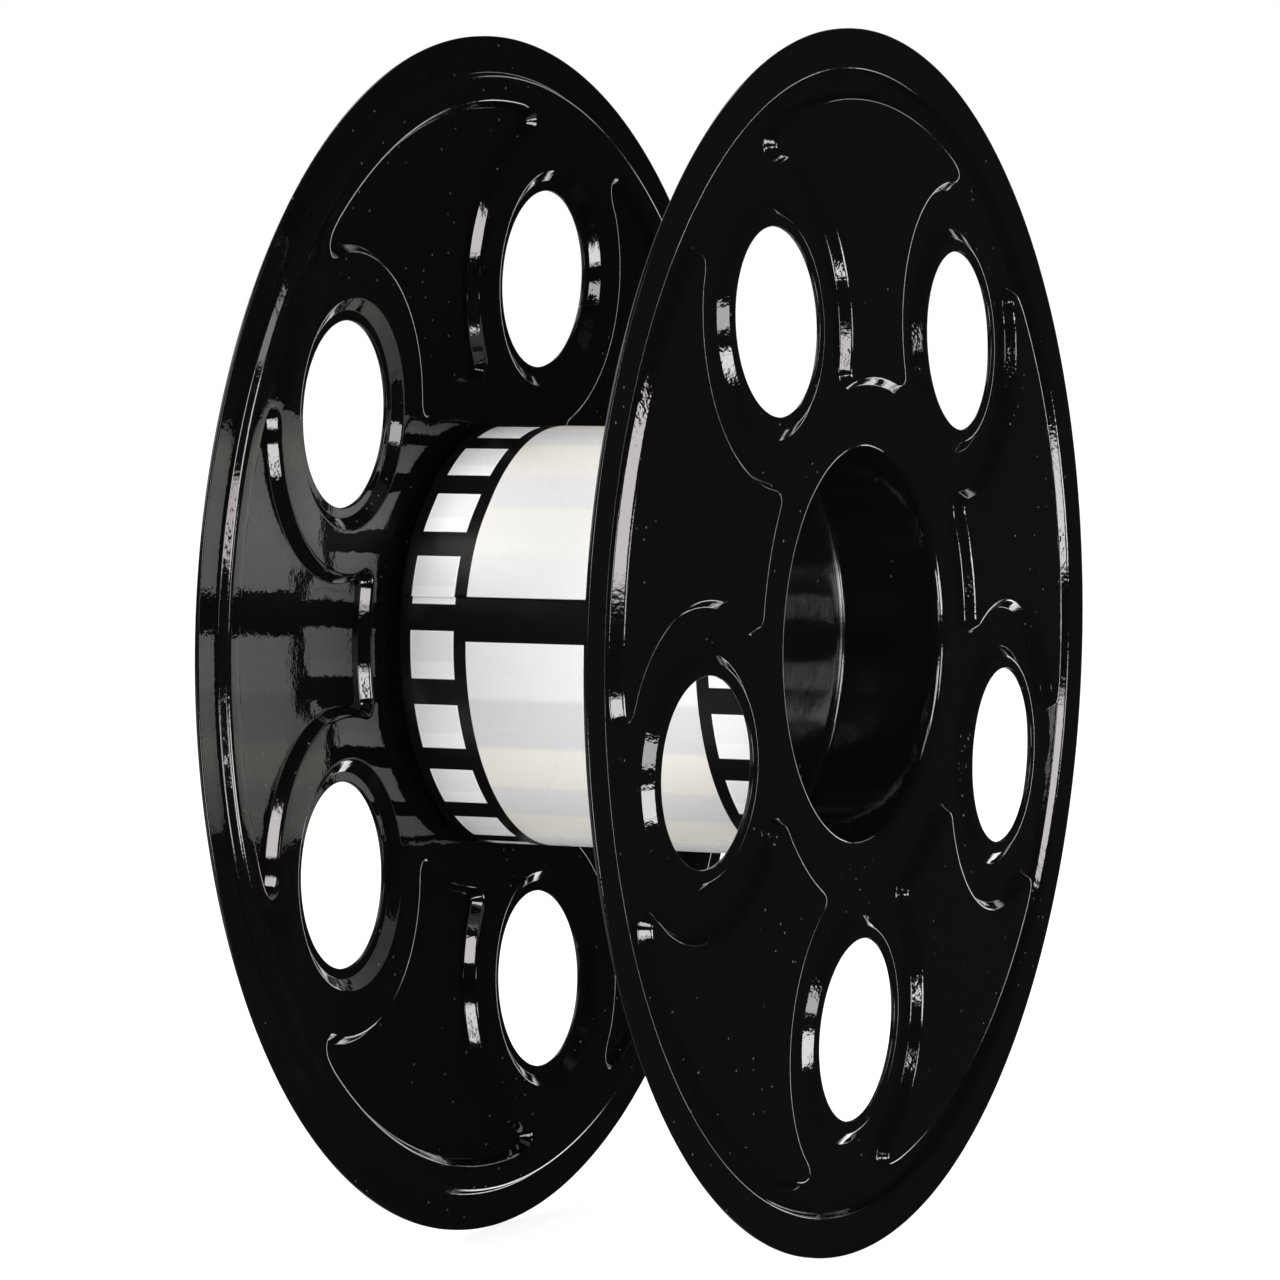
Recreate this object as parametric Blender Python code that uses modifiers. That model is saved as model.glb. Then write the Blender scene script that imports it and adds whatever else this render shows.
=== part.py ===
"""Display film reel, 12 inches across.

Two flanged reel halves, each vacuum formed from one thin sheet together with its hub cup, plug into the
ends of a card tube. A printed card is wrapped once round the tube and lapped on itself with tape.
The reel stands on its two rims: +X is the reel's axis, +Z is up, and the origin is on the table, midway
between the rims and under the axis.
"""

import math

import bmesh
import bpy
from mathutils import Matrix

MM = 0.001
COLLECTION = "display_film_reel"

# Flanges, in millimetres and degrees. Heights are measured outwards from the flat rim lip's outer face.
FLANGE_RADIUS = 152.4
LIP_SPACING = 102.0  # outer face of one lip to outer face of the other
SHEET = 1.0
LIP_INNER = 143.6
LIP_FOOT = 141.0
DISH = 0.0525  # rise per unit radius: each flange bulges outwards towards its hub
FIELD_DEPTH = 2.6  # the sunken field, under the cone that carries on from the lip
PANEL_HEIGHT = 3.0  # over the field
BOSS_HEIGHT = 2.2  # over the field
RIM_SIDES = 80

# Holes, bosses and panels repeat five times round each flange.
SECTORS = 5
SECTOR = 360.0 / SECTORS
HOLE_CIRCLE = 96.0
HOLE_RADIUS = 22.9
BOSS_TOP = 25.2
BOSS_FOOT = 29.0
HOLE_SIDES = 20
PANEL_INNER = 67.2
PANEL_OUTER = 134.0
PANEL_SIDE = 41.6  # the panels' flanks are arcs of this radius about the neighbouring holes
PANEL_DRAFT = 3.2
PANEL_TIP = 12.0  # length of side given up to round each outer corner
PANEL_HEEL = 3.5  # and each inner one
PANEL_RIM_POINTS = 4  # on half of a panel
PANEL_FLANK_POINTS = 5
PANEL_END_POINTS = 2
RIGHT_HOLE_ANGLE = -92.7  # turns from +Y towards +Z
LEFT_HOLE_ANGLE = -0.9

# Hub cups: each is a plug for the card tube, open to the outside.
MOUTH_RADIUS = 50.8
MOUTH_FILLET = 2.2
CUP_DEPTH = 28.0
CUP_DRAFT = 2.0
CUP_FILLET = 2.0
HUB_SIDES = 48
HUB_STEP = 360.0 / HUB_SIDES

# Card tube and wrap.
TUBE_BORE = 50.1
TUBE_RADIUS = 52.7
TUBE_LENGTH = 98.4
CARD = 0.45
CARD_WIDTH = 99.2
CARD_BORE = 53.0
LAP_LIFT = 0.75  # how far the lapped end stands off the layer under it, card and tape together
SEAM_ANGLE = 167.0  # where the outer layer ends
LAP_STEPS = 2  # hub facets that the lap covers
CLIMB_STEPS = 2  # and that the card takes to climb on to its own start
TAPE = 0.2
TAPE_GAP = 0.05
TAPE_WIDTH = 92.0
TAPE_MARGIN = 1.5  # degrees of lap left free at each side of a tape

SHARP_ANGLE = 40.0


def clear_scene():
    for item in list(bpy.data.objects):
        bpy.data.objects.remove(item)


def polar(radius, degrees):
    angle = math.radians(degrees)
    return (radius * math.cos(angle), radius * math.sin(angle))


def circle(radius, sides, centre=(0.0, 0.0), first=0.0):
    """Points of a regular polygon whose corners lie on the radius."""
    points = []
    for i in range(sides):
        x, y = polar(radius, first + 360.0 * i / sides)
        points.append((centre[0] + x, centre[1] + y))
    return points


def cone(radius):
    """Height of the dished surface that carries on inwards from the lip."""
    return DISH * max(0.0, LIP_INNER - radius)


def field_height(point):
    return cone(math.hypot(*point)) - FIELD_DEPTH


def panel_height(point):
    return field_height(point) + PANEL_HEIGHT


def boss_height(point):
    return field_height(point) + BOSS_HEIGHT


def lip_height(point):
    return 0.0


def hole_side_angle(radius, side):
    """Angle off a hole's own azimuth at which a circle of radius side about the hole meets radius."""
    cosine = (radius**2 + HOLE_CIRCLE**2 - side**2) / (2.0 * radius * HOLE_CIRCLE)
    return math.degrees(math.acos(cosine))


def arc_between(centre, start, end, trim_start, trim_end, count):
    """Points along an arc from start to end, cut short by a length at each end."""
    radius = math.dist(centre, start)
    first = math.atan2(start[1] - centre[1], start[0] - centre[0])
    last = math.atan2(end[1] - centre[1], end[0] - centre[0])
    last = first + math.remainder(last - first, 2.0 * math.pi)
    way = math.copysign(1.0, last - first)
    first += way * trim_start / radius
    last -= way * trim_end / radius
    points = []
    for i in range(count):
        angle = first + (last - first) * i / (count - 1)
        points.append((centre[0] + radius * math.cos(angle), centre[1] + radius * math.sin(angle)))
    return points


def rounded_corner(before, corner, after):
    """Middle point of the quadratic curve that rounds a corner off."""
    return tuple(0.25 * a + 0.5 * b + 0.25 * c for a, b, c in zip(before, corner, after))


def panel_outline():
    """Outline of one raised panel's top, symmetric about the local X axis."""
    hole = polar(HOLE_CIRCLE, SECTOR / 2.0)
    outer_corner = polar(PANEL_OUTER, SECTOR / 2.0 - hole_side_angle(PANEL_OUTER, PANEL_SIDE))
    inner_corner = polar(PANEL_INNER, SECTOR / 2.0 - hole_side_angle(PANEL_INNER, PANEL_SIDE))
    centre = (0.0, 0.0)
    outer_middle = (PANEL_OUTER, 0.0)
    inner_middle = (PANEL_INNER, 0.0)
    rim = arc_between(centre, outer_middle, outer_corner, 0.0, PANEL_TIP, PANEL_RIM_POINTS)
    flank = arc_between(hole, outer_corner, inner_corner, PANEL_TIP, PANEL_HEEL, PANEL_FLANK_POINTS)
    end = arc_between(centre, inner_corner, inner_middle, PANEL_HEEL, 0.0, PANEL_END_POINTS)
    half = rim + [rounded_corner(rim[-1], outer_corner, flank[0])]
    half += flank + [rounded_corner(flank[-1], inner_corner, end[0])] + end
    mirrored = [(x, -y) for x, y in reversed(half[1:-1])]
    return half + mirrored


def grown(points, distance):
    """The outline moved outwards all round. Its points run anticlockwise."""
    moved = []
    for i, (x, y) in enumerate(points):
        before = points[i - 1]
        after = points[(i + 1) % len(points)]
        normals = []
        for start, end in ((before, (x, y)), ((x, y), after)):
            length = math.dist(start, end)
            normals.append(((end[1] - start[1]) / length, (start[0] - end[0]) / length))
        across = (normals[0][0] + normals[1][0], normals[0][1] + normals[1][1])
        reach = 2.0 * distance / (across[0] ** 2 + across[1] ** 2)
        moved.append((x + reach * across[0], y + reach * across[1]))
    return moved


def turned(points, degrees):
    angle = math.radians(degrees)
    c, s = math.cos(angle), math.sin(angle)
    return [(c * x - s * y, s * x + c * y) for x, y in points]


def add_loop(bm, points, height):
    """Adds a closed loop of edges at the height that a function gives for each point."""
    verts = [bm.verts.new((x * MM, y * MM, height((x, y)) * MM)) for x, y in points]
    return [bm.edges.new((verts[i - 1], verts[i])) for i in range(len(verts))]


def bridge(bm, outer, inner):
    bmesh.ops.bridge_loops(bm, edges=outer + inner)


def add_panels(bm, first_hole):
    """Raised panels midway between the holes. Returns the edges of their feet."""
    feet = []
    for i in range(SECTORS):
        direction = first_hole + SECTOR * (i + 0.5)
        outline = turned(panel_outline(), direction)
        foot = add_loop(bm, grown(outline, PANEL_DRAFT), field_height)
        top = add_loop(bm, outline, panel_height)
        bridge(bm, foot, top)
        bmesh.ops.triangle_fill(bm, use_beauty=True, edges=top, normal=(0.0, 0.0, 1.0))
        feet += foot
    return feet


def add_bosses(bm, first_hole):
    """Raised collars round the open holes. Returns the edges of their feet."""
    feet = []
    for i in range(SECTORS):
        direction = first_hole + SECTOR * i
        centre = polar(HOLE_CIRCLE, direction)
        foot = add_loop(bm, circle(BOSS_FOOT, HOLE_SIDES, centre, direction), field_height)
        top = add_loop(bm, circle(BOSS_TOP, HOLE_SIDES, centre, direction), boss_height)
        hole = add_loop(bm, circle(HOLE_RADIUS, HOLE_SIDES, centre, direction), boss_height)
        bridge(bm, foot, top)
        bridge(bm, top, hole)
        feet += foot
    return feet


def cup_profile():
    """Radius and height pairs down the cup's outer face, from under its mouth to its floor's edge."""
    mouth_height = field_height((MOUTH_RADIUS, 0.0))
    profile = []
    for angle in (30.0, 60.0, 90.0 - CUP_DRAFT):
        across, up = polar(MOUTH_FILLET, 90.0 - angle)
        profile.append((MOUTH_RADIUS - across, mouth_height - MOUTH_FILLET + up))
    wall_top_radius, wall_top = profile[-1]
    wall_foot = mouth_height - CUP_DEPTH + CUP_FILLET
    wall_foot_radius = wall_top_radius - (wall_top - wall_foot) * math.tan(math.radians(CUP_DRAFT))
    for angle in (0.0, 45.0, 90.0):
        across, down = polar(CUP_FILLET, angle)
        profile.append((wall_foot_radius - CUP_FILLET + across, wall_foot - down))
    return profile


def add_cup(bm, mouth):
    """Hub cup, from its mouth loop down to a flat floor."""
    above = mouth
    for radius, height in cup_profile():
        below = add_loop(bm, circle(radius, HUB_SIDES), lambda point, level=height: level)
        bridge(bm, above, below)
        above = below
    bmesh.ops.contextual_create(bm, geom=above)


def sheet_mesh(name, first_hole):
    """Outer face of one formed sheet, with the reel's axis on local Z and the outside up."""
    bm = bmesh.new()
    half_step = 180.0 / RIM_SIDES
    corner = FLANGE_RADIUS / math.cos(math.radians(half_step))
    rim = add_loop(bm, circle(corner, RIM_SIDES, first=half_step), lip_height)
    lip = add_loop(bm, circle(LIP_INNER, RIM_SIDES, first=half_step), lip_height)
    lip_foot = add_loop(bm, circle(LIP_FOOT, RIM_SIDES, first=half_step), field_height)
    mouth = add_loop(bm, circle(MOUTH_RADIUS, HUB_SIDES), field_height)
    bridge(bm, rim, lip)
    bridge(bm, lip, lip_foot)
    feet = add_panels(bm, first_hole) + add_bosses(bm, first_hole)
    bmesh.ops.triangle_fill(bm, use_beauty=True, edges=lip_foot + feet + mouth, normal=(0.0, 0.0, 1.0))
    add_cup(bm, mouth)
    bmesh.ops.recalc_face_normals(bm, faces=bm.faces)
    if sum(face.normal.z * face.calc_area() for face in bm.faces) < 0.0:
        bmesh.ops.reverse_faces(bm, faces=bm.faces)
    mesh = bpy.data.meshes.new(name)
    bm.to_mesh(mesh)
    bm.free()
    return mesh


def plain_material(name, colour, roughness):
    material = bpy.data.materials.new(name)
    material.use_nodes = True
    shader = material.node_tree.nodes["Principled BSDF"]
    shader.inputs["Base Color"].default_value = (*colour, 1.0)
    shader.inputs["Roughness"].default_value = roughness
    shader.inputs["Metallic"].default_value = 0.0
    return material


def place(name, mesh, parts, material, matrix):
    """Makes a mesh into a named part, smooth but for its real edges."""
    item = bpy.data.objects.new(name, mesh)
    parts.objects.link(item)
    item.matrix_world = matrix
    mesh.materials.append(material)
    mesh.shade_smooth()
    mesh.set_sharp_from_angle(angle=math.radians(SHARP_ANGLE))
    return item


def thicken(item, thickness, offset):
    shell = item.modifiers.new("thickness", "SOLIDIFY")
    shell.thickness = thickness * MM
    shell.offset = offset
    shell.use_even_offset = True


def make_half(name, side, first_hole, parts, material):
    """One reel half. side is +1 for the half at +X and -1 for the half at -X."""
    mesh = sheet_mesh(name, local_angle(side, first_hole))
    upright = Matrix.Rotation(side * math.pi / 2.0, 4, "Y")
    at = Matrix.Translation((side * LIP_SPACING / 2.0 * MM, 0.0, FLANGE_RADIUS * MM))
    half = place(name, mesh, parts, material, at @ upright)
    thicken(half, SHEET, -1.0)


def local_angle(side, degrees):
    """Local angle about a half's own outward axis of a direction given from +Y towards +Z."""
    return 90.0 + degrees if side > 0 else 90.0 - degrees


def on_axis():
    """Places a mesh made about local Z on the reel's axis."""
    return Matrix.Translation((0.0, 0.0, FLANGE_RADIUS * MM)) @ Matrix.Rotation(math.pi / 2.0, 4, "Y")


def hub_point(radius, degrees):
    """A point on the hub's polygon, at an angle from +Y towards +Z, in local X and Y."""
    corner = (degrees - SEAM_ANGLE) / HUB_STEP
    before = math.floor(corner)
    x0, y0 = polar(radius, 90.0 + SEAM_ANGLE + before * HUB_STEP)
    x1, y1 = polar(radius, 90.0 + SEAM_ANGLE + (before + 1) * HUB_STEP)
    share = corner - before
    return (x0 + (x1 - x0) * share, y0 + (y1 - y0) * share)


def strip_mesh(name, points, width):
    """Open strip of sheet that follows points in local X and Y, centred on the local XY plane."""
    bm = bmesh.new()
    verts = [bm.verts.new((x * MM, y * MM, -0.5 * width * MM)) for x, y in points]
    edges = [bm.edges.new(pair) for pair in zip(verts, verts[1:])]
    raised = bmesh.ops.extrude_edge_only(bm, edges=edges)["geom"]
    tops = [part for part in raised if isinstance(part, bmesh.types.BMVert)]
    bmesh.ops.translate(bm, verts=tops, vec=(0.0, 0.0, width * MM))
    mesh = bpy.data.meshes.new(name)
    bm.to_mesh(mesh)
    bm.free()
    return mesh


def make_tube(parts, material):
    """Card tube that joins the two halves, open at both ends."""
    bm = bmesh.new()
    bmesh.ops.create_cone(
        bm,
        cap_ends=False,
        segments=HUB_SIDES,
        radius1=TUBE_RADIUS * MM,
        radius2=TUBE_RADIUS * MM,
        depth=TUBE_LENGTH * MM,
        matrix=Matrix.Rotation(math.radians(90.0 + SEAM_ANGLE), 4, "Z"),
    )
    mesh = bpy.data.meshes.new("core_tube")
    bm.to_mesh(mesh)
    bm.free()
    tube = place("core_tube", mesh, parts, material, on_axis())
    thicken(tube, TUBE_RADIUS - TUBE_BORE, -1.0)


def make_wrap(parts, material):
    """Printed card, once round the tube and lapped over its own start."""
    start = SEAM_ANGLE - LAP_STEPS * HUB_STEP
    middle = CARD_BORE + 0.5 * CARD
    points = []
    for i in range(HUB_SIDES + LAP_STEPS + 1):
        climbed = (i - HUB_SIDES + CLIMB_STEPS) / CLIMB_STEPS
        lift = LAP_LIFT * min(1.0, max(0.0, climbed))
        points.append(hub_point(middle + lift, start + i * HUB_STEP))
    mesh = strip_mesh("film_strip_wrap", points, CARD_WIDTH)
    wrap = place("film_strip_wrap", mesh, parts, material, on_axis())
    thicken(wrap, CARD, 0.0)


def make_tape(name, inside, parts, material):
    """Strip of tape under the card's start, or between its two layers."""
    middle = inside + TAPE_GAP + 0.5 * TAPE
    first = SEAM_ANGLE - LAP_STEPS * HUB_STEP + TAPE_MARGIN
    last = SEAM_ANGLE - TAPE_MARGIN
    angles = [first, SEAM_ANGLE - HUB_STEP, last]
    mesh = strip_mesh(name, [hub_point(middle, angle) for angle in angles], TAPE_WIDTH)
    tape = place(name, mesh, parts, material, on_axis())
    thicken(tape, TAPE, 0.0)


def main():
    clear_scene()
    parts = bpy.data.collections.new(COLLECTION)
    bpy.context.scene.collection.children.link(parts)
    black_plastic = plain_material("black_plastic", (0.008, 0.007, 0.007), 0.12)
    tube_card = plain_material("tube_card", (0.32, 0.21, 0.12), 0.85)
    printed_card = plain_material("printed_card", (0.75, 0.75, 0.74), 0.3)
    clear_tape = plain_material("clear_tape", (0.8, 0.76, 0.62), 0.35)
    make_half("right_reel_half", 1, RIGHT_HOLE_ANGLE, parts, black_plastic)
    make_half("left_reel_half", -1, LEFT_HOLE_ANGLE, parts, black_plastic)
    make_tube(parts, tube_card)
    make_wrap(parts, printed_card)
    make_tape("start_tape", TUBE_RADIUS, parts, clear_tape)
    make_tape("seam_tape", CARD_BORE + CARD, parts, clear_tape)


main()
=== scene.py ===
"""Looks of the display film reel: two glossy formed halves on a card tube with a printed wrap.

The reel's axis is +X. Lengths are in millimetres and angles in degrees unless a comment says otherwise,
and angles round the axis turn from +Y towards +Z.
"""

import math

import bmesh
import bpy
import numpy as np
from mathutils import Matrix, Vector
from mathutils.geometry import delaunay_2d_cdt


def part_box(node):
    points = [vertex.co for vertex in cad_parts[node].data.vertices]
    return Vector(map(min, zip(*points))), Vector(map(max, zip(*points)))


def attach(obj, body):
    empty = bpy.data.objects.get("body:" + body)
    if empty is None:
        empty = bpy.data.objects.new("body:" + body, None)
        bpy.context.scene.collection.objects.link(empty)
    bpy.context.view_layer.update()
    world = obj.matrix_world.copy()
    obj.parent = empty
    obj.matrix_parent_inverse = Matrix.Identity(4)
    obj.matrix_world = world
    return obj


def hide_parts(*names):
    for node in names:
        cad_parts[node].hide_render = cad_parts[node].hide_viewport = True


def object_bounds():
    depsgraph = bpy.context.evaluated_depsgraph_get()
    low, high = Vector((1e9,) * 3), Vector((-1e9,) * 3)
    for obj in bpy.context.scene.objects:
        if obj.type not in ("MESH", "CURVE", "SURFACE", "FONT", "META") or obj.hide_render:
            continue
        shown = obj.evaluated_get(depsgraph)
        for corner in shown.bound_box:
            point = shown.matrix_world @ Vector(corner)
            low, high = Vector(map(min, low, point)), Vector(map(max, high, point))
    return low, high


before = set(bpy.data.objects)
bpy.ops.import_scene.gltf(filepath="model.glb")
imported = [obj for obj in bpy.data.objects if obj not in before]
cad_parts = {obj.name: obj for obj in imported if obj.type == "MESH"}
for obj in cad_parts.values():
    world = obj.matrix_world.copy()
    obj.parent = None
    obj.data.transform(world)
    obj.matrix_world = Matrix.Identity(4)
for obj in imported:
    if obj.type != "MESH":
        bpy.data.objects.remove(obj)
cad_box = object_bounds()

# Flanges. Heights are measured outwards from the flat rim lip's outer face.
FLANGE_RADIUS = 152.4
LIP_SPACING = 102.0
SHEET = 1.0
LIP_INNER = 143.6
LIP_FOOT = 141.0
DISH = 0.0525  # slope at which the field rises towards the hub
FIELD_DEPTH = 2.6
PANEL_HEIGHT = 3.0
BOSS_HEIGHT = 2.2

# Holes with their raised collars, and the raised panels between them.
SECTORS = 5
SECTOR = 360.0 / SECTORS
HOLE_CIRCLE = 96.0
HOLE_RADIUS = 22.9
BOSS_TOP = 25.2
BOSS_FOOT = 29.0
PANEL_INNER = 67.2
PANEL_OUTER = 134.0
PANEL_SIDE = 41.6
PANEL_DRAFT = 3.2
PANEL_TIP = 12.0
PANEL_HEEL = 3.5
RIGHT_HOLE_ANGLE = -92.7
LEFT_HOLE_ANGLE = -0.9

# Hub cups.
MOUTH_RADIUS = 50.8
MOUTH_FILLET = 2.2
CUP_DEPTH = 28.0
CUP_DRAFT = 2.0
CUP_FILLET = 2.0
CUP_FLOOR_LIMIT = 26.5  # distance from the reel's middle that takes in both cups' floors and no walls

# Radii of a formed wall's two bends: the convex one at its top and the concave one at its foot.
TOP_BEND = 1.5
FOOT_BEND = 0.7

# The sheet's cut edges: their rounding, and the ring of surface beside them that is kept flat.
CUT_EDGE = 0.15
CUT_MARGIN = 0.5

# Radii between which the grain of the stretched walls sets in.
GRAIN_START = 58.0
GRAIN_FULL = 62.0

# The frame gives the reel's scale, where its axis is, and how wide the hub's pieces are.
RIM_LOW, RIM_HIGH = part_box("right_reel_half")
MM = (RIM_HIGH.z - RIM_LOW.z) / (2.0 * FLANGE_RADIUS)
AXIS_HEIGHT = 0.5 * (RIM_LOW.z + RIM_HIGH.z) / MM
TUBE_LENGTH, CARD_WIDTH, TAPE_WIDTH = (
    (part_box(node)[1].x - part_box(node)[0].x) / MM for node in ("core_tube", "film_strip_wrap", "seam_tape")
)

# Card tube, wrap and tapes.
TUBE_BORE = 50.1
TUBE_RADIUS = 52.85
TUBE_EDGE = 0.2
CARD = 0.45
CARD_BORE = 53.0
CARD_EDGE = 0.08
LAP_LIFT = 0.75
SEAM_ANGLE = 167.0
LAP_ANGLE = 15.0
CLIMB_ANGLE = 15.0
TAPE = 0.1
TAPE_EDGE = 0.02
TAPE_MARGIN = 1.5
START_TAPE_GAP = 0.02  # from the tube to the start tape
SEAM_TAPE_GAP = 0.1  # from the card to the seam tape

# The film strip printed on the wrap.
HOLES_ROUND = 18
HOLE_FIRST = 175.9  # angle at which one printed perforation starts
HOLE_ARC = 12.9
HOLE_INNER_EDGE = 34.7
HOLE_OUTER_EDGE = 46.7
HOLE_RIM = 0.5
FRAMES_ROUND = 3
FRAME_FIRST = 178.6
FRAME_ARC = 108.2
FRAME_HALF_WIDTH = 31.3
PRINT_BLUR = 0.06

# Tones from one edge to the other of a perforation and of a frame, in the order in which the angle grows:
# (share of the way, red, green, blue). The grey and cream bands across the white card are painted reflections
# of lights.
HOLE_TONES_AND_REFLECTIONS = (
    (0.0, 0.97, 0.96, 0.94),
    (0.05, 0.88, 0.87, 0.88),
    (0.62, 0.89, 0.88, 0.89),
    (0.66, 0.97, 0.96, 0.95),
    (1.0, 0.97, 0.96, 0.95),
)
FRAME_TONES_AND_REFLECTIONS = (
    (0.0, 0.86, 0.85, 0.84),
    (0.135, 0.84, 0.83, 0.82),
    (0.15, 0.70, 0.69, 0.70),
    (0.265, 0.70, 0.69, 0.70),
    (0.28, 0.85, 0.82, 0.75),
    (0.39, 0.84, 0.81, 0.75),
    (0.405, 0.74, 0.73, 0.72),
    (0.50, 0.74, 0.73, 0.73),
    (0.515, 0.84, 0.81, 0.74),
    (0.64, 0.85, 0.83, 0.77),
    (0.655, 0.80, 0.79, 0.78),
    (0.75, 0.80, 0.79, 0.79),
    (0.765, 0.87, 0.85, 0.80),
    (0.88, 0.87, 0.85, 0.81),
    (0.90, 0.84, 0.83, 0.82),
    (1.0, 0.84, 0.83, 0.82),
)

# Fineness of the meshes.
OUTLINE_STEP = 1.7
CORNER_DENSITY = 1.5  # points to an outline step in a rounded corner
FLAT_STEP = 4.5
EDGE_CLEARANCE = 0.55  # share of a flat step kept free of points beside an edge
RIM_SIDES = 480
HOLE_SIDES = 96
HUB_SIDES = 192
BEND_STEPS = 4
MOUTH_STEPS = 10
CUP_WALL_STEPS = 5
CUP_FOOT_STEPS = 8
WRAP_STEPS = 300
WRAP_ROWS = 12
TAPE_STEPS = 12
TAPE_ROWS = 8

# Camera, on the reel's centre but for a small offset of its aim.
CAMERA_AZIMUTH = 25.76
CAMERA_ELEVATION = 3.38
CAMERA_DISTANCE = 1480.3
CAMERA_LENS = 164.9
SENSOR_WIDTH = 36.0
AIM_LEFT = 8.4
AIM_DOWN = 0.3

# The studio. Its distances and sizes are in metres.
WHITE = (1.0, 1.0, 1.0, 1.0)
MATT_SHADE = (0.55, 0.55, 0.56, 1.0)  # surroundings as matt surfaces see them
GLOSS_SHADE = (0.012, 0.012, 0.012, 1.0)  # surroundings as the gloss mirrors them
FLOOR_RADIUS = 20.0
FLOOR_GAP = 0.0002
REFLECTOR_STEPS = 16
REFLECTOR_FADE = 2.0  # steps over which a reflector fades in from its edge


# ---------------------------------------------------------------- shapes in the plane


def polar(radius, degrees):
    angle = math.radians(degrees)
    return (radius * math.cos(angle), radius * math.sin(angle))


def circle(radius, sides, centre=(0.0, 0.0)):
    turns = np.radians(360.0 * np.arange(sides) / sides)
    return np.stack((centre[0] + radius * np.cos(turns), centre[1] + radius * np.sin(turns)), 1)


def field_height(points):
    """Height of the sunken field: a shallow cone that rises inwards from FIELD_DEPTH under the lip."""
    radius = np.hypot(points[:, 0], points[:, 1])
    return DISH * np.maximum(0.0, LIP_INNER - radius) - FIELD_DEPTH


def hole_side_angle(radius, side):
    """Angle off a hole's own azimuth at which a circle of radius side about the hole meets radius."""
    cosine = (radius**2 + HOLE_CIRCLE**2 - side**2) / (2.0 * radius * HOLE_CIRCLE)
    return math.degrees(math.acos(cosine))


def arc_between(centre, start, end, trim_start, trim_end):
    """Points along an arc from start to end, cut short by a length at each end."""
    radius = math.dist(centre, start)
    first = math.atan2(start[1] - centre[1], start[0] - centre[0])
    last = math.atan2(end[1] - centre[1], end[0] - centre[0])
    last = first + math.remainder(last - first, 2.0 * math.pi)
    way = math.copysign(1.0, last - first)
    first += way * trim_start / radius
    last -= way * trim_end / radius
    count = max(2, round(abs(last - first) * radius / OUTLINE_STEP) + 1)
    angles = np.linspace(first, last, count)
    return [(centre[0] + radius * math.cos(a), centre[1] + radius * math.sin(a)) for a in angles]


def rounded_corner(before, corner, after):
    """Points inside the quadratic curve that rounds a corner off."""
    length = math.dist(before, corner) + math.dist(corner, after)
    count = max(3, round(CORNER_DENSITY * length / OUTLINE_STEP))
    points = []
    for t in np.linspace(0.0, 1.0, count + 2)[1:-1]:
        weights = ((1.0 - t) ** 2, 2.0 * t * (1.0 - t), t**2)
        points.append(tuple(np.dot(weights, (before, corner, after))))
    return points


def panel_outline():
    """Outline of one raised panel's top, symmetric about the local X axis."""
    hole = polar(HOLE_CIRCLE, SECTOR / 2.0)
    outer_corner = polar(PANEL_OUTER, SECTOR / 2.0 - hole_side_angle(PANEL_OUTER, PANEL_SIDE))
    inner_corner = polar(PANEL_INNER, SECTOR / 2.0 - hole_side_angle(PANEL_INNER, PANEL_SIDE))
    centre = (0.0, 0.0)
    rim = arc_between(centre, (PANEL_OUTER, 0.0), outer_corner, 0.0, PANEL_TIP)
    flank = arc_between(hole, outer_corner, inner_corner, PANEL_TIP, PANEL_HEEL)
    end = arc_between(centre, inner_corner, (PANEL_INNER, 0.0), PANEL_HEEL, 0.0)
    half = rim + rounded_corner(rim[-1], outer_corner, flank[0])
    half += flank + rounded_corner(flank[-1], inner_corner, end[0]) + end
    mirrored = [(x, -y) for x, y in reversed(half[1:-1])]
    return np.array(half + mirrored)


def grown(outline, distance):
    """The outline moved outwards all round. Its points run anticlockwise."""
    along = np.roll(outline, -1, 0) - np.roll(outline, 1, 0)
    outwards = np.stack((along[:, 1], -along[:, 0]), 1)
    return outline + distance * outwards / np.linalg.norm(outwards, axis=1)[:, None]


def turned(points, degrees):
    cosine, sine = polar(1.0, degrees)
    return points @ np.array(((cosine, sine), (-sine, cosine)))


def wall_profile(run, rise):
    """(distance out, drop) pairs down a formed wall: a convex bend, a straight and a concave bend."""
    bends = TOP_BEND + FOOT_BEND
    slope = math.atan2(rise - bends, run) + math.asin(bends / math.hypot(run, rise - bends))
    top = []
    foot = []
    for i in range(BEND_STEPS + 1):
        angle = slope * i / BEND_STEPS
        across, down = math.sin(angle), 1.0 - math.cos(angle)
        top.append((TOP_BEND * across, TOP_BEND * down))
        foot.append((run - FOOT_BEND * across, rise - FOOT_BEND * down))
    return top + foot[::-1]


def cup_profile():
    """(radius, height) pairs from just inside the cup's mouth down to its floor's edge."""
    mouth_height = DISH * (LIP_INNER - MOUTH_RADIUS) - FIELD_DEPTH
    profile = []
    for angle in np.linspace(0.0, 90.0 - CUP_DRAFT, MOUTH_STEPS + 1)[1:]:
        across, up = polar(MOUTH_FILLET, 90.0 - angle)
        profile.append((MOUTH_RADIUS - across, mouth_height - MOUTH_FILLET + up))
    wall_top_radius, wall_top = profile[-1]
    wall_foot = mouth_height - CUP_DEPTH + CUP_FILLET
    draft = math.tan(math.radians(CUP_DRAFT))
    for height in np.linspace(wall_top, wall_foot, CUP_WALL_STEPS + 1)[1:-1]:
        profile.append((wall_top_radius - (wall_top - height) * draft, height))
    foot_radius = wall_top_radius - (wall_top - wall_foot) * draft
    for angle in np.linspace(0.0, 90.0, CUP_FOOT_STEPS + 1):
        across, down = polar(CUP_FILLET, angle)
        profile.append((foot_radius - CUP_FILLET + across, wall_foot - down))
    return profile


# ---------------------------------------------------------------- mesh tools


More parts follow.
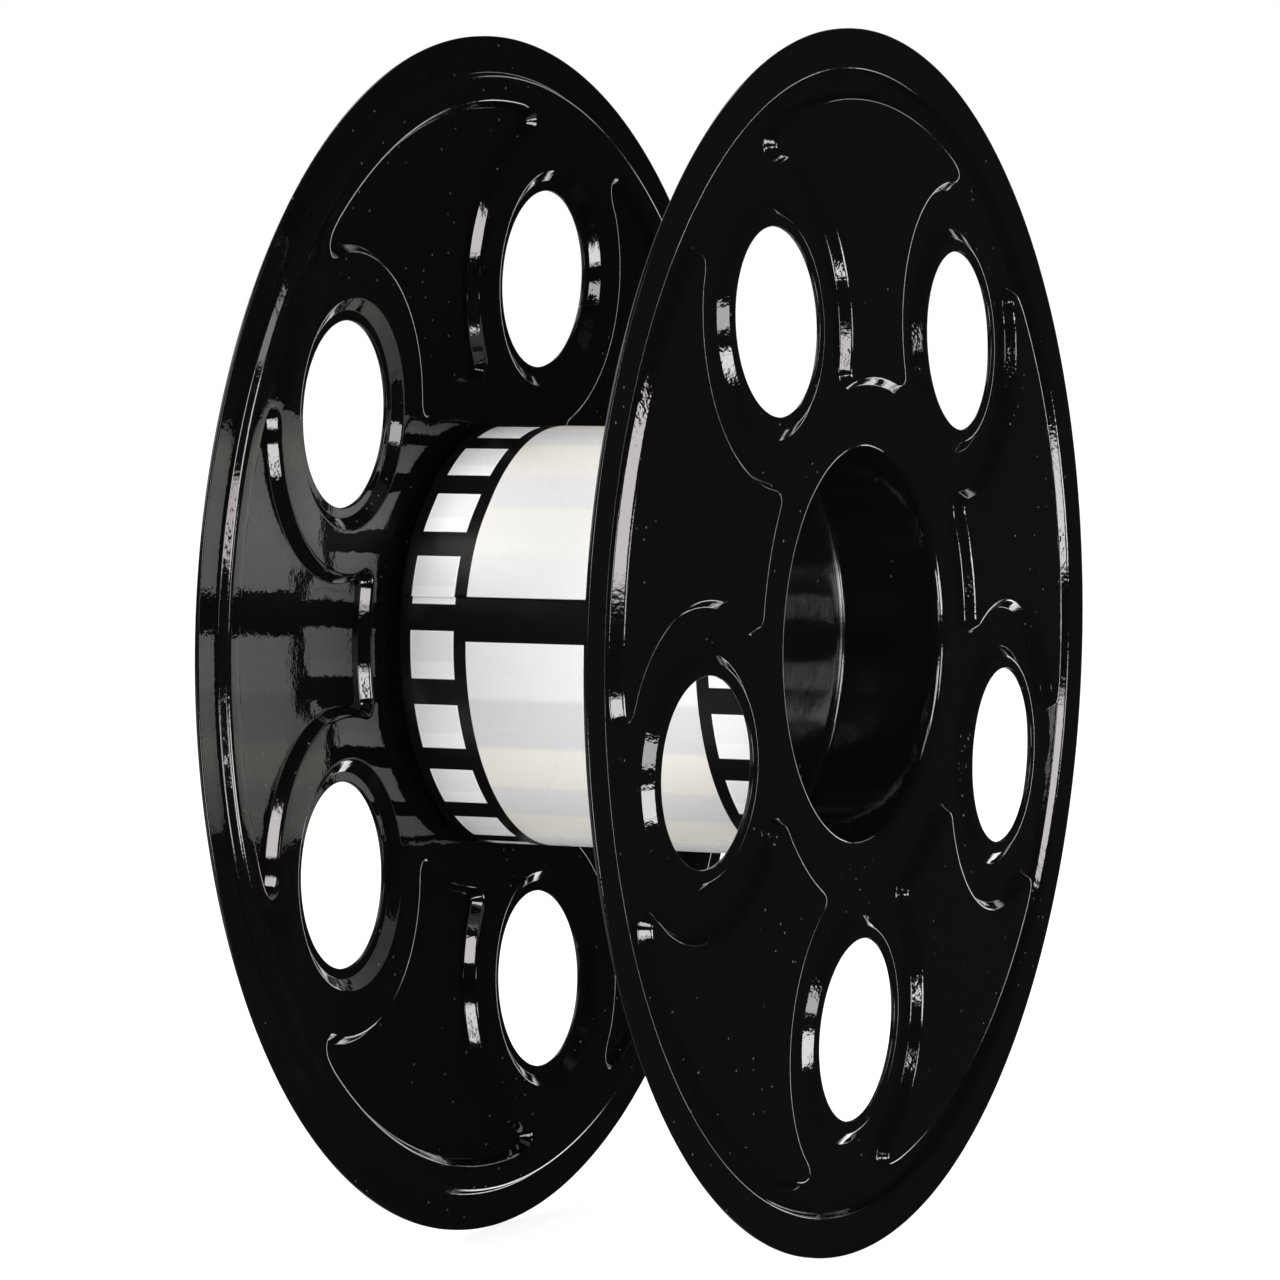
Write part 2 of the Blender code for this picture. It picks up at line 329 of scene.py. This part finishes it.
def add_loop(bm, points, heights):
    heights = np.broadcast_to(heights, len(points))
    return [bm.verts.new((x, y, z)) for (x, y), z in zip(points, heights)]


def add_strip(bm, outer, inner):
    """Quads between two closed loops with the same number of points."""
    for i in range(len(outer)):
        bm.faces.new((outer[i - 1], outer[i], inner[i], inner[i - 1]))


def add_grid(bm, lines):
    """Quads between the neighbours in a list of open lines with the same number of points."""
    for low, high in zip(lines, lines[1:]):
        for i in range(len(low) - 1):
            bm.faces.new((low[i], low[i + 1], high[i + 1], high[i]))


def flat_points(loop):
    return np.array([vert.co[:2] for vert in loop])


def inside(points, outline):
    """Which points lie inside a closed outline, by the edges that a line to their right crosses."""
    x, y = points[:, :1], points[:, 1:]
    ax, ay = outline[:, 0], outline[:, 1]
    bx, by = np.roll(ax, -1), np.roll(ay, -1)
    crosses = (ay > y) != (by > y)
    rise = np.where(by == ay, 1.0, by - ay)
    return (crosses & (x < ax + (y - ay) * (bx - ax) / rise)).sum(1) % 2 == 1


def spread_points(outer, holes, edge_points):
    """Points of a triangular grid inside outer, outside the holes and clear of the edges."""
    reach = np.abs(outer).max() + FLAT_STEP
    rows = np.arange(-reach, reach, FLAT_STEP * math.sqrt(0.75))
    columns = np.arange(-reach, reach, FLAT_STEP)
    x, y = np.meshgrid(columns, rows)
    x = x + np.where(np.arange(len(rows)) % 2, 0.5 * FLAT_STEP, 0.0)[:, None]
    points = np.stack((x.ravel(), y.ravel()), 1)
    points = points[inside(points, outer)]
    for hole in holes:
        points = points[~inside(points, hole)]
    gaps = [np.hypot(*(edge_points - point).T).min() for point in points]
    return points[np.array(gaps) > EDGE_CLEARANCE * FLAT_STEP]


def fill_flat(bm, outer, holes, height):
    """Fills between an outer loop and the holes in it with even triangles. height is a function of
    points in the plane."""
    loops = [outer, *holes]
    outlines = [flat_points(loop) for loop in loops]
    edges = []
    start = 0
    for loop in loops:
        edges += [(start + i, start + (i + 1) % len(loop)) for i in range(len(loop))]
        start += len(loop)
    edge_points = np.concatenate(outlines)
    free = spread_points(outlines[0], outlines[1:], edge_points)
    points = np.concatenate((edge_points, free))
    verts = [vert for loop in loops for vert in loop] + add_loop(bm, free, height(free))
    result = delaunay_2d_cdt([Vector(point) for point in points], edges, [], 0, 1e-6)
    faces, originals = result[2:4]
    source = [matches[0] for matches in originals]
    corners = np.array([[source[i] for i in face] for face in faces])
    middles = points[corners].mean(1)
    keep = inside(middles, outlines[0])
    for hole in outlines[1:]:
        keep &= ~inside(middles, hole)
    for face in corners[keep]:
        bm.faces.new([verts[i] for i in face])


def mesh_from(bm, name):
    mesh = bpy.data.meshes.new(name)
    bm.to_mesh(mesh)
    bm.free()
    return mesh


def add_object(name, data):
    made = bpy.data.objects.new(name, data)
    bpy.context.scene.collection.objects.link(made)
    return made


def finish_mesh(bm, name, up=False):
    """Makes the bmesh into a smooth mesh in metres. With up, its faces look towards local +Z."""
    bmesh.ops.recalc_face_normals(bm, faces=bm.faces)
    if up and sum(face.normal.z * face.calc_area() for face in bm.faces) < 0.0:
        bmesh.ops.reverse_faces(bm, faces=bm.faces)
    bmesh.ops.scale(bm, vec=(MM, MM, MM), verts=bm.verts)
    mesh = mesh_from(bm, name)
    mesh.shade_smooth()
    return mesh


def put(name, mesh, material, matrix, body, node):
    """Makes a mesh into a piece that stands for a CAD node and rides on its body."""
    mesh.transform(matrix)
    piece = add_object(name, mesh)
    mesh.materials.append(material)
    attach(piece, body)
    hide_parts(node)
    return piece


def thicken(piece, thickness, offset):
    """Makes a sheet solid: offset -1 puts all of the thickness behind its faces, and 0 half of it."""
    shell = piece.modifiers.new("thickness", "SOLIDIFY")
    shell.thickness = thickness * MM
    shell.offset = offset
    shell.use_even_offset = True


def soften(piece, width):
    """Rounds the edges at which the material was cut."""
    bevel = piece.modifiers.new("cut edges", "BEVEL")
    bevel.width = width * MM
    bevel.segments = 2
    bevel.limit_method = "ANGLE"
    bevel.angle_limit = math.radians(60.0)


def on_axis():
    """Turns a mesh made about local Z so that it lies on the reel's axis."""
    return Matrix.Translation((0.0, 0.0, AXIS_HEIGHT * MM)) @ Matrix.Rotation(math.pi / 2.0, 4, "Y")


def local_turn(degrees):
    """Local angle, after on_axis, of a direction given from +Y towards +Z."""
    return 90.0 + degrees


# ---------------------------------------------------------------- the halves


def add_wall(bm, outline, height, profile):
    """Formed wall round a raised part. outline gives its points for a distance out from its top edge."""
    loops = []
    for distance, drop in profile:
        points = outline(distance)
        loops.append(add_loop(bm, points, field_height(points) + height - drop))
    for outer, inner in zip(loops[1:], loops):
        add_strip(bm, outer, inner)
    return loops[0], loops[-1]


def add_panel(bm, direction):
    """Raised panel. Returns the loop at its foot."""
    outline = turned(panel_outline(), direction)
    profile = wall_profile(PANEL_DRAFT, PANEL_HEIGHT)
    top, foot = add_wall(bm, lambda distance: grown(outline, distance), PANEL_HEIGHT, profile)
    fill_flat(bm, top, [], lambda points: field_height(points) + PANEL_HEIGHT)
    return foot


def add_boss(bm, direction):
    """Hole in a raised collar. Returns the loop at its foot."""
    middle = polar(HOLE_CIRCLE, direction)
    profile = wall_profile(BOSS_FOOT - BOSS_TOP, BOSS_HEIGHT)

    def collar(distance):
        return circle(BOSS_TOP + distance, HOLE_SIDES, middle)

    outer, foot = add_wall(bm, collar, BOSS_HEIGHT, profile)
    for radius in (HOLE_RADIUS + 3.0 * CUT_MARGIN, HOLE_RADIUS + CUT_MARGIN, HOLE_RADIUS):
        points = circle(radius, HOLE_SIDES, middle)
        inner = add_loop(bm, points, field_height(points) + BOSS_HEIGHT)
        add_strip(bm, outer, inner)
        outer = inner
    return foot


def add_lip(bm):
    """The flat rim and the step down from it. Returns the loop at the foot of the step."""
    lip_middle = 0.5 * (FLANGE_RADIUS + LIP_INNER)
    run = LIP_INNER - LIP_FOOT
    rise = FIELD_DEPTH - DISH * run
    profile = [(radius, 0.0) for radius in (FLANGE_RADIUS, FLANGE_RADIUS - CUT_MARGIN, lip_middle)]
    profile += [(LIP_INNER - distance, -drop) for distance, drop in wall_profile(run, rise)]
    loops = [add_loop(bm, circle(radius, RIM_SIDES), height) for radius, height in profile]
    for outer, inner in zip(loops, loops[1:]):
        add_strip(bm, outer, inner)
    return loops[-1]


def add_cup(bm, mouth):
    """Hub cup, down from the loop at its mouth."""
    profile = cup_profile()
    above = mouth
    for radius, height in profile:
        below = add_loop(bm, circle(radius, HUB_SIDES), height)
        add_strip(bm, above, below)
        above = below
    floor_height = profile[-1][1]
    fill_flat(bm, above, [], lambda points: np.full(len(points), floor_height))


def half_mesh(name, first_hole):
    """Outer face of one formed sheet, with the reel's axis on local Z and the outside up."""
    bm = bmesh.new()
    feet = []
    for i in range(SECTORS):
        feet.append(add_panel(bm, first_hole + SECTOR * (i + 0.5)))
        feet.append(add_boss(bm, first_hole + SECTOR * i))
    lip_foot = add_lip(bm)
    mouth_points = circle(MOUTH_RADIUS, HUB_SIDES)
    mouth = add_loop(bm, mouth_points, field_height(mouth_points))
    fill_flat(bm, lip_foot, [*feet, mouth], field_height)
    add_cup(bm, mouth)
    return finish_mesh(bm, name, up=True)


def make_half(name, side, first_hole, body, node, material):
    """One reel half. side is +1 for the half at +X and -1 for the half at -X."""
    mesh = half_mesh(name, local_turn(side * first_hole))
    upright = Matrix.Rotation(side * math.pi / 2.0, 4, "Y")
    at = Matrix.Translation((side * 0.5 * LIP_SPACING * MM, 0.0, AXIS_HEIGHT * MM))
    half = put(name, mesh, material, at @ upright, body, node)
    thicken(half, SHEET, -1.0)
    soften(half, CUT_EDGE)


# ---------------------------------------------------------------- the hub


def ease(t):
    """Smooth rise from 0 to 1 while t does the same."""
    t = min(1.0, max(0.0, t))
    return t * t * (3.0 - 2.0 * t)


def curled_sheet(name, path, width, rows):
    """Open sheet curled about local Z. path lists (radius, angle) pairs along it."""
    bm = bmesh.new()
    points = [polar(radius, local_turn(angle)) for radius, angle in path]
    lines = [add_loop(bm, points, width * (row / rows - 0.5)) for row in range(rows + 1)]
    add_grid(bm, lines)
    return finish_mesh(bm, name)


def make_tube(material):
    """Card tube that the two cups plug into."""
    bm = bmesh.new()
    half = 0.5 * TUBE_LENGTH
    corners = ((TUBE_RADIUS, half), (TUBE_RADIUS, -half), (TUBE_BORE, -half), (TUBE_BORE, half))
    loops = [add_loop(bm, circle(radius, HUB_SIDES), height) for radius, height in corners]
    for i, loop in enumerate(loops):
        add_strip(bm, loops[i - 1], loop)
    mesh = finish_mesh(bm, "card_tube")
    tube = put("card_tube", mesh, material, on_axis(), "core", "core_tube")
    soften(tube, TUBE_EDGE)


def make_wrap(material):
    """Printed card, once round the tube and lapped over its own start."""
    start = SEAM_ANGLE - LAP_ANGLE
    middle = CARD_BORE + 0.5 * CARD
    path = []
    for angle in np.linspace(start, SEAM_ANGLE + 360.0, WRAP_STEPS + 1):
        lift = LAP_LIFT * ease((angle - start - 360.0 + CLIMB_ANGLE) / CLIMB_ANGLE)
        path.append((middle + lift, angle))
    mesh = curled_sheet("printed_wrap", path, CARD_WIDTH, WRAP_ROWS)
    wrap = put("printed_wrap", mesh, material, on_axis(), "core", "film_strip_wrap")
    thicken(wrap, CARD, 0.0)
    soften(wrap, CARD_EDGE)


def make_tape(name, node, inside_radius, material):
    """Strip of tape under the card's start, or between its two layers."""
    middle = inside_radius + 0.5 * TAPE
    first = SEAM_ANGLE - LAP_ANGLE + TAPE_MARGIN
    angles = np.linspace(first, SEAM_ANGLE - TAPE_MARGIN, TAPE_STEPS + 1)
    mesh = curled_sheet(name, [(middle, angle) for angle in angles], TAPE_WIDTH, TAPE_ROWS)
    tape = put(name, mesh, material, on_axis(), "core", node)
    thicken(tape, TAPE, 0.0)
    soften(tape, TAPE_EDGE)


# ---------------------------------------------------------------- materials


class Graph:
    """The node tree of a material or world, with short calls for the nodes used here."""

    def __init__(self, owner):
        owner.use_nodes = True
        self.owner = owner
        self.tree = owner.node_tree

    def link(self, value, socket):
        if isinstance(value, bpy.types.NodeSocket):
            self.tree.links.new(value, socket)
        else:
            socket.default_value = value

    def node(self, kind, inputs=None, **settings):
        node = self.tree.nodes.new(kind)
        for key, value in settings.items():
            setattr(node, key, value)
        for key, value in (inputs or {}).items():
            self.link(value, node.inputs[key])
        return node

    def math(self, operation, a, b=0.0, c=0.0):
        return self.node("ShaderNodeMath", {0: a, 1: b, 2: c}, operation=operation).outputs[0]

    def vector_math(self, operation, a, b=(0.0, 0.0, 0.0)):
        return self.node("ShaderNodeVectorMath", {0: a, 1: b}, operation=operation)

    def mix(self, factor, a, b):
        return self.node("ShaderNodeMix", {0: factor, 6: a, 7: b}, data_type="RGBA").outputs[2]

    def position(self):
        """Place on the piece at rest, in metres, with the origin on the reel's axis."""
        here = self.node("ShaderNodeTexCoord").outputs["Object"]
        return self.vector_math("ADD", here, (0.0, 0.0, -AXIS_HEIGHT * MM)).outputs[0]

    def split(self, vector):
        return self.node("ShaderNodeSeparateXYZ", {0: vector}).outputs

    def turn(self, place):
        """Angle round the reel's axis, in turns from -0.5 to 0.5."""
        return self.math("MULTIPLY", self.math("ARCTAN2", place[2], place[1]), 0.5 / math.pi)

    def scaled(self, vector, scale):
        return self.vector_math("MULTIPLY", vector, scale).outputs[0]

    def noise(self, vector, scale, detail=2.0, rough=0.5):
        inputs = {"Vector": vector, "Scale": scale, "Detail": detail, "Roughness": rough}
        return self.node("ShaderNodeTexNoise", inputs).outputs["Fac"]

    def span(self, value, low, high, to_low=0.0, to_high=1.0, smooth=False):
        inputs = {"Value": value, "From Min": low, "From Max": high, "To Min": to_low, "To Max": to_high}
        kind = "SMOOTHSTEP" if smooth else "LINEAR"
        return self.node("ShaderNodeMapRange", inputs, interpolation_type=kind).outputs[0]

    def bump(self, height, strength, depth, normal=None):
        """Bumps with a depth in millimetres, on top of those of another normal."""
        inputs = {"Height": height, "Strength": strength, "Distance": depth * MM}
        if normal is not None:
            inputs["Normal"] = normal
        return self.node("ShaderNodeBump", inputs).outputs[0]

    def set(self, **sockets):
        shader = self.tree.nodes["Principled BSDF"]
        for name, value in sockets.items():
            self.link(value, shader.inputs[name.replace("_", " ")])


def new_material(name):
    return Graph(bpy.data.materials.new(name))


def grey(value, warm=0.0):
    return (value * (1.0 + warm), value, value * (1.0 - warm), 1.0)


def plastic_material():
    """High-gloss black sheet: orange peel from the forming, stretch grain, light scuffs and a little dust.
    The scales of noise are per metre, here and in the other materials."""
    g = new_material("black_plastic")
    here = g.position()
    swell = g.noise(here, scale=45.0, detail=1.0)
    peel = g.noise(here, scale=420.0, rough=0.6)
    grain = g.noise(here, scale=1000.0, detail=1.0)
    normal = g.bump(swell, strength=0.5, depth=0.5)
    normal = g.bump(peel, strength=0.35, depth=0.12, normal=normal)
    grain_strength = g.math("MULTIPLY_ADD", stretched(g, here), 0.5, 0.05)
    normal = g.bump(grain, strength=grain_strength, depth=0.12, normal=normal)
    smears = g.span(g.noise(here, scale=18.0, detail=4.0), 0.45, 0.75)
    streaks = g.span(g.noise(g.scaled(here, (40.0, 40.0, 900.0)), scale=1.0), 0.62, 0.8)
    rough = g.math("MULTIPLY_ADD", smears, 0.03, 0.035)
    rough = g.math("MULTIPLY_ADD", streaks, 0.05, rough)
    rough = g.math("MULTIPLY_ADD", cup_floor(g, here), 0.14, rough)
    specks = g.node("ShaderNodeTexVoronoi", {"Vector": here, "Scale": 260.0}).outputs["Distance"]
    dusty = g.span(g.noise(here, scale=30.0), 0.52, 0.6)
    dust = g.math("MULTIPLY", g.span(specks, 0.1, 0.04), dusty)
    colour = g.mix(dust, grey(0.0035, 0.05), grey(0.16))
    g.set(Base_Color=colour, Roughness=rough, Normal=normal, IOR=1.5)
    return g.owner


def cup_floor(g, here):
    """1 on the floors of the hub cups, which are the only parts of the halves near the reel's middle."""
    distance = g.math("ABSOLUTE", g.split(here)[0])
    return g.span(distance, CUP_FLOOR_LIMIT * MM, (CUP_FLOOR_LIMIT - 0.5) * MM)


def stretched(g, here):
    """How much the forming has grained the gloss, up to 0.8: in patches on the outside, on those steep
    walls that face the front and are clear of the hub."""
    place = g.split(here)
    facing_parts = g.split(g.node("ShaderNodeTexCoord").outputs["Normal"])
    steep = g.span(g.math("ABSOLUTE", facing_parts[0]), 0.97, 0.86)
    front = g.span(facing_parts[1], -0.1, -0.3)
    outside = g.math("GREATER_THAN", g.math("MULTIPLY", place[0], facing_parts[0]), 0.0)
    across = g.node("ShaderNodeCombineXYZ", {1: place[1], 2: place[2]}).outputs[0]
    radius = g.vector_math("LENGTH", across).outputs["Value"]
    clear_of_hub = g.span(radius, GRAIN_START * MM, GRAIN_FULL * MM)
    patches = g.span(g.noise(here, scale=70.0), 0.4, 0.62, 0.05, 0.8)
    share = steep
    for factor in (front, outside, clear_of_hub, patches):
        share = g.math("MULTIPLY", share, factor)
    return share


def repeat(g, turn, count, first):
    """Share of the way through a pattern that repeats round the card, from 0 to 1. The two turns keep
    the angle from going below 0."""
    from_first = g.math("SUBTRACT", turn, first / 360.0 - 2.0)
    return g.math("FRACT", g.math("MULTIPLY", from_first, float(count)))


def within(g, value, low, high, edge):
    """1 between low and high, with edges that fade over a small width."""
    rise = g.span(value, low - edge, low + edge)
    fall = g.span(value, high + edge, high - edge)
    return g.math("MULTIPLY", rise, fall)


def banded(g, way, tones, share):
    """Colour of a repeating pattern whose tones fill the first share of each repeat."""
    bands = g.node("ShaderNodeValToRGB", {"Fac": way})
    elements = bands.color_ramp.elements
    while len(elements) < len(tones):
        elements.new(0.5)
    for element, (at, red, green, blue) in zip(elements, tones):
        element.position = at * share
        element.color = (red, green, blue, 1.0)
    return bands.outputs[0]


def print_perforations(g, colour, across, turn):
    """The colour with the two rows of clear perforations on it, each with a bright rim and painted reflection
    bands inside it.
    """
    way = repeat(g, turn, HOLES_ROUND, HOLE_FIRST)
    share = HOLE_ARC * HOLES_ROUND / 360.0
    along = within(g, way, 0.0, share, 0.006)
    hole = g.math("MULTIPLY", along, within(g, across, HOLE_INNER_EDGE, HOLE_OUTER_EDGE, PRINT_BLUR))
    inner = within(g, across, HOLE_INNER_EDGE + HOLE_RIM, HOLE_OUTER_EDGE - HOLE_RIM, 0.15)
    return g.mix(hole, colour, g.mix(inner, grey(0.97), banded(g, way, HOLE_TONES_AND_REFLECTIONS, share)))


def print_frames(g, colour, across, turn):
    """The colour with the white frames on it, which carry soft painted reflection bands."""
    way = repeat(g, turn, FRAMES_ROUND, FRAME_FIRST)
    share = FRAME_ARC * FRAMES_ROUND / 360.0
    along = within(g, way, 0.0, share, 0.0008)
    # across is never below 0, so a frame has no edge at the card's middle.
    frame_shape = g.math("MULTIPLY", along, within(g, across, -1.0, FRAME_HALF_WIDTH, PRINT_BLUR))
    return g.mix(frame_shape, colour, banded(g, way, FRAME_TONES_AND_REFLECTIONS, share))


def printed_material():
    """Glossy card printed black with a film strip's perforations and frames."""
    g = new_material("printed_card")
    here = g.position()
    place = g.split(here)
    across = g.math("MULTIPLY", g.math("ABSOLUTE", place[0]), 1.0 / MM)
    turn = g.turn(place)
    ink_wear = g.noise(here, scale=300.0, detail=3.0, rough=0.7)
    colour = g.mix(ink_wear, (0.0025, 0.0023, 0.0022, 1.0), (0.005, 0.0044, 0.004, 1.0))
    colour = print_perforations(g, colour, across, turn)
    colour = print_frames(g, colour, across, turn)
    fibres = g.noise(g.scaled(here, (1.0, 0.3, 0.3)), scale=2600.0, detail=3.0, rough=0.6)
    colour = g.mix(g.math("MULTIPLY", fibres, 0.006), colour, grey(0.3, 0.04))
    bow = g.noise(here, scale=60.0, detail=1.0)
    normal = g.bump(bow, strength=0.12, depth=0.4)
    normal = g.bump(fibres, strength=0.15, depth=0.02, normal=normal)
    rough = g.span(g.noise(here, scale=35.0, detail=3.0), 0.1, 0.9, 0.24, 0.31, smooth=True)
    g.set(Base_Color=colour, Roughness=rough, Normal=normal, IOR=1.5, Specular_IOR_Level=0.3)
    return g.owner


def tube_material():
    """Brown spiral-wound card with 14 turns of its seam to the metre."""
    g = new_material("tube_card")
    here = g.position()
    place = g.split(here)
    wound = g.math("ADD", g.math("MULTIPLY", place[0], 14.0), g.turn(place))
    seam = g.math("PINGPONG", wound, 0.5)
    line = g.span(seam, 0.0, 0.012, 1.0, 0.0)
    fibres = g.noise(g.scaled(here, (1.0, 0.25, 0.25)), scale=1800.0, detail=4.0, rough=0.7)
    blotch = g.noise(here, scale=70.0, detail=3.0)
    colour = g.mix(fibres, (0.26, 0.16, 0.09, 1.0), (0.42, 0.29, 0.17, 1.0))
    colour = g.mix(g.math("MULTIPLY", blotch, 0.4), colour, (0.3, 0.2, 0.12, 1.0))
    colour = g.mix(line, colour, (0.1, 0.06, 0.035, 1.0))
    normal = g.bump(g.math("SUBTRACT", fibres, line), strength=0.5, depth=0.1)
    rough = g.span(fibres, 0.3, 0.7, 0.75, 0.95)
    g.set(Base_Color=colour, Roughness=rough, Normal=normal)
    return g.owner


def tape_material():
    """Clear double-sided tape, a little yellow, with trapped air."""
    g = new_material("clear_tape")
    here = g.position()
    air = g.span(g.noise(here, scale=220.0, detail=3.0, rough=0.6), 0.5, 0.62)
    colour = g.mix(air, (0.62, 0.55, 0.38, 1.0), (0.8, 0.77, 0.68, 1.0))
    normal = g.bump(air, strength=0.3, depth=0.05)
    g.set(Base_Color=colour, Roughness=g.span(air, 0.0, 1.0, 0.25, 0.5), Normal=normal)
    return g.owner


# ---------------------------------------------------------------- the studio


def direction(azimuth, elevation):
    """Unit vector from the reel. Azimuth 0 is towards -Y and 90 towards +X."""
    a, e = math.radians(azimuth), math.radians(elevation)
    return Vector((math.sin(a) * math.cos(e), -math.cos(a) * math.cos(e), math.sin(e)))


def centre():
    return Vector((0.0, 0.0, AXIS_HEIGHT * MM))


def facing(azimuth, elevation, distance):
    """Placement at a distance in metres from the reel's centre, with local -Z towards it."""
    away = direction(azimuth, elevation)
    turn = (-away).to_track_quat("-Z", "Y").to_matrix().to_4x4()
    return Matrix.Translation(centre() + away * distance) @ turn


def make_camera():
    data = bpy.data.cameras.new("camera")
    data.lens = CAMERA_LENS
    data.sensor_width = SENSOR_WIDTH
    camera = add_object("camera", data)
    matrix = facing(CAMERA_AZIMUTH, CAMERA_ELEVATION, CAMERA_DISTANCE * MM)
    aim = matrix.to_3x3() @ Vector((-AIM_LEFT * MM, -AIM_DOWN * MM, 0.0))
    camera.matrix_world = Matrix.Translation(aim) @ matrix
    bpy.context.scene.camera = camera


def softbox(name, azimuth, elevation, distance, size, power):
    """A soft light that lights the reel but isn't itself mirrored in the gloss."""
    data = bpy.data.lights.new(name, "AREA")
    data.shape = "RECTANGLE"
    data.size, data.size_y = size
    data.energy = power
    lamp = add_object(name, data)
    lamp.matrix_world = facing(azimuth, elevation, distance)
    lamp.visible_camera = False
    lamp.visible_glossy = False


def glow_material(name, strength, colour):
    """Glow that is scaled by the mesh's share attribute and isn't sampled as a lamp."""
    g = new_material(name)
    g.tree.nodes.clear()
    share = g.node("ShaderNodeAttribute", attribute_name="share").outputs["Fac"]
    power = g.math("MULTIPLY", share, strength)
    glow = g.node("ShaderNodeEmission", {"Color": (*colour, 1.0), "Strength": power})
    g.node("ShaderNodeOutputMaterial", {"Surface": glow.outputs[0]})
    g.owner.cycles.emission_sampling = "NONE"
    return g.owner


def sky_patch(name, azimuths, elevations, distance):
    """Mesh that spans a range of directions from the reel. Its share attribute fades at the edges."""
    bm = bmesh.new()
    shares = bm.verts.layers.float.new("share")
    columns = []
    for i, azimuth in enumerate(np.linspace(*azimuths, REFLECTOR_STEPS + 1)):
        column = []
        for j, elevation in enumerate(np.linspace(*elevations, REFLECTOR_STEPS + 1)):
            vert = bm.verts.new(centre() + direction(azimuth, elevation) * distance)
            edge = min(i, j, REFLECTOR_STEPS - i, REFLECTOR_STEPS - j)
            vert[shares] = min(1.0, edge / REFLECTOR_FADE)
            column.append(vert)
        columns.append(column)
    add_grid(bm, columns)
    return mesh_from(bm, name)


def reflector(name, azimuths, elevations, distance, strength, colour=(1.0, 1.0, 1.0)):
    """A glowing sheet that is only seen mirrored in the gloss."""
    mesh = sky_patch(name, azimuths, elevations, distance)
    mesh.materials.append(glow_material(name, strength, colour))
    sheet = add_object(name, mesh)
    for ray in ("camera", "diffuse", "transmission", "volume_scatter", "shadow"):
        setattr(sheet, "visible_" + ray, False)


def make_floor():
    """White floor that the gloss doesn't mirror."""
    bm = bmesh.new()
    bmesh.ops.create_circle(bm, cap_ends=True, segments=96, radius=FLOOR_RADIUS)
    mesh = mesh_from(bm, "floor")
    floor = add_object("floor", mesh)
    floor.location.z = cad_box[0].z - FLOOR_GAP
    floor.visible_glossy = False
    g = new_material("floor")
    g.set(Base_Color=grey(0.5), Roughness=0.9, Specular_IOR_Level=0.0)
    g.set(Emission_Color=WHITE, Emission_Strength=0.8)
    mesh.materials.append(g.owner)


def make_world():
    """White to the camera, soft to matt surfaces, and nearly dark in the gloss."""
    world = bpy.data.worlds.new("studio")
    bpy.context.scene.world = world
    g = Graph(world)
    g.tree.nodes.clear()
    ray = g.node("ShaderNodeLightPath").outputs
    shade = g.mix(ray["Is Diffuse Ray"], GLOSS_SHADE, MATT_SHADE)
    shade = g.mix(ray["Is Camera Ray"], shade, WHITE)
    background = g.node("ShaderNodeBackground", {"Color": shade})
    g.node("ShaderNodeOutputWorld", {"Surface": background.outputs[0]})


def make_studio():
    """Lights the reel. Softboxes light the card, and each reflector stands in the range of azimuths and
    elevations that some of the formed walls, bends, cups or backs mirror."""
    make_world()
    make_floor()
    softbox("key", -20.0, 30.0, 2.2, (1.6, 1.2), 40.0)
    softbox("fill", 50.0, 15.0, 2.4, (1.2, 1.2), 16.0)
    softbox("top", 180.0, 75.0, 2.2, (2.0, 2.0), 16.0)
    reflector("upper_box", (74.0, 94.0), (0.0, 14.0), 2.5, 9.0)
    reflector("lower_box", (68.0, 94.0), (-26.0, -8.0), 2.5, 16.0)
    reflector("low_box", (42.0, 50.0), (-36.0, -10.0), 2.5, 15.0)
    reflector("lip_box", (30.5, 35.5), (-23.0, -8.0), 2.5, 10.0)
    reflector("high_box", (38.0, 57.0), (8.0, 46.0), 2.7, 13.0, (1.0, 0.96, 0.95))
    reflector("flank_box", (50.0, 57.0), (-34.0, -17.0), 2.5, 15.0)
    reflector("lip_high_box", (30.0, 37.0), (13.0, 30.0), 2.7, 10.0, (1.0, 0.93, 0.94))
    reflector("top_box", (16.0, 50.0), (47.0, 68.0), 2.7, 4.0)
    reflector("behind", (170.0, 190.0), (-14.0, 12.0), 3.0, 3.0)
    reflector("behind_high", (173.0, 190.0), (13.0, 36.0), 3.0, 1.2)
    reflector("table", (170.0, 190.0), (-40.0, -18.0), 3.0, 4.0)
    reflector("left_low", (205.0, 345.0), (-50.0, -3.0), 2.9, 0.7)
    reflector("left_high", (215.0, 335.0), (14.0, 52.0), 2.9, 2.5)


def main():
    bpy.context.scene.view_settings.view_transform = "Standard"
    make_camera()
    plastic = plastic_material()
    make_half("right_half_formed", 1, RIGHT_HOLE_ANGLE, "right_half", "right_reel_half", plastic)
    make_half("left_half_formed", -1, LEFT_HOLE_ANGLE, "left_half", "left_reel_half", plastic)
    make_tube(tube_material())
    make_wrap(printed_material())
    tape = tape_material()
    make_tape("start_tape_strip", "start_tape", TUBE_RADIUS + START_TAPE_GAP, tape)
    make_tape("seam_tape_strip", "seam_tape", CARD_BORE + CARD + SEAM_TAPE_GAP, tape)
    make_studio()


main()
